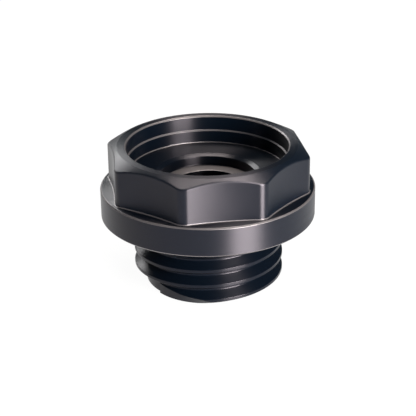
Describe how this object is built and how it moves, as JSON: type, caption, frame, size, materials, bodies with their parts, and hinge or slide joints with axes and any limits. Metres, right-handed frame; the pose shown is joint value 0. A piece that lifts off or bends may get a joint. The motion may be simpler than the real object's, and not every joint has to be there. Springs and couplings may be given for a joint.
{
  "type": "oil filler cap",
  "caption": "Black anodised screw-in oil filler cap with an octagonal head, a recessed top, a round flange, a coarse threaded neck and a rubber sealing ring.",
  "frame": {"origin": "centre of the neck's end face, on the thread's axis, at the level that the cap stands on", "axes": "+Z along the thread's axis from the neck's end to the head; -Y is the side that the picture shows at the front, and +X is its right"},
  "size_m": [0.06, 0.06, 0.0396],
  "materials": {
    "anodised_aluminium": "black anodised over fine turning and milling marks, satin",
    "seal_rubber": "smooth moulded black rubber"
  },
  "bodies": {
    "root": {"cap_body": "anodised_aluminium", "seal_ring": "seal_rubber"}
  },
  "joints": []
}
